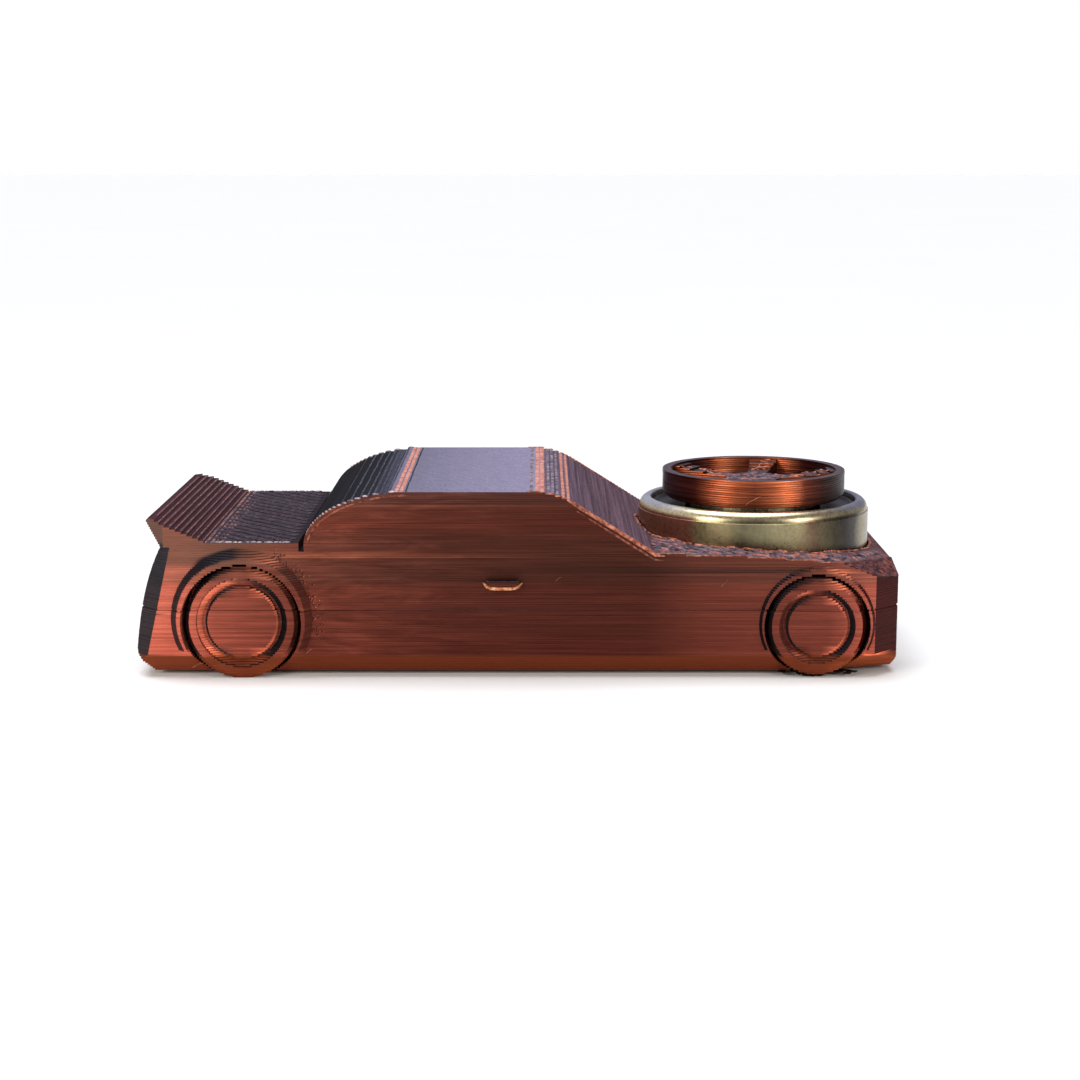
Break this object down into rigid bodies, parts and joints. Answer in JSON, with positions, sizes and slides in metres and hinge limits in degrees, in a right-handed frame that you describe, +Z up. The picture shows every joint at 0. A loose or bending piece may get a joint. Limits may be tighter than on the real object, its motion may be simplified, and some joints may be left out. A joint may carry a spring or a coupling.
{
  "type": "fidget spinner",
  "caption": "Pocket fidget spinner shaped like a small printed coupe, with a ball bearing sunk in the bonnet, a spoked finger cap on it and four wheels that turn.",
  "frame": {"origin": "on the table under the middle of the car's length and width", "axes": "+X to the front of the car, +Y to the car's left, +Z up"},
  "size_m": [0.0692, 0.0316, 0.017],
  "materials": {
    "silk_plastic": "satin silk filament with fine layer lines, copper on the sides and dark purple on top",
    "cap_plastic": "satin silk filament with fine layer lines, bright copper",
    "bearing_steel": "ground steel, semi bright",
    "shield_steel": "pressed steel, dark and slightly oily",
    "ball_steel": "polished"
  },
  "bodies": {
    "car": {"car_body": "silk_plastic", "bearing_outer_ring": "bearing_steel", "bearing_shield_upper": "shield_steel", "bearing_shield_lower": "shield_steel"},
    "finger_caps": {"spinner_cap_upper": "cap_plastic", "spinner_cap_lower": "cap_plastic", "bearing_inner_ring": "bearing_steel"},
    "ball_set": {"ball_cage_upper": "shield_steel", "ball_cage_lower": "shield_steel", "bearing_ball_1": "ball_steel", "bearing_ball_2": "ball_steel", "bearing_ball_3": "ball_steel", "bearing_ball_4": "ball_steel", "bearing_ball_5": "ball_steel", "bearing_ball_6": "ball_steel", "bearing_ball_7": "ball_steel"},
    "wheel_front_right": {"front_wheel_right": "silk_plastic"},
    "wheel_front_left": {"front_wheel_left": "silk_plastic"},
    "wheel_rear_right": {"rear_wheel_right": "silk_plastic"},
    "wheel_rear_left": {"rear_wheel_left": "silk_plastic"}
  },
  "joints": [
    {"name": "cap_spin", "type": "hinge", "parent": "car", "child": "finger_caps", "pos_m": [0.0225, 0, 0.01085], "axis": [0, 0, 1], "continuous": true},
    {"name": "ball_orbit", "type": "hinge", "parent": "car", "child": "ball_set", "pos_m": [0.0225, 0, 0.01085], "axis": [0, 0, 1], "continuous": true},
    {"name": "front_right_roll", "type": "hinge", "parent": "car", "child": "wheel_front_right", "pos_m": [0.027, -0.0135, 0.00475], "axis": [0, 1, 0], "continuous": true},
    {"name": "front_left_roll", "type": "hinge", "parent": "car", "child": "wheel_front_left", "pos_m": [0.027, 0.0135, 0.00475], "axis": [0, 1, 0], "continuous": true},
    {"name": "rear_right_roll", "type": "hinge", "parent": "car", "child": "wheel_rear_right", "pos_m": [-0.0249, -0.0135, 0.0051], "axis": [0, 1, 0], "continuous": true},
    {"name": "rear_left_roll", "type": "hinge", "parent": "car", "child": "wheel_rear_left", "pos_m": [-0.0249, 0.0135, 0.0051], "axis": [0, 1, 0], "continuous": true}
  ],
  "couplings": [
    {"joint": "ball_orbit", "follows": "cap_spin", "ratio": 0.3677}
  ]
}
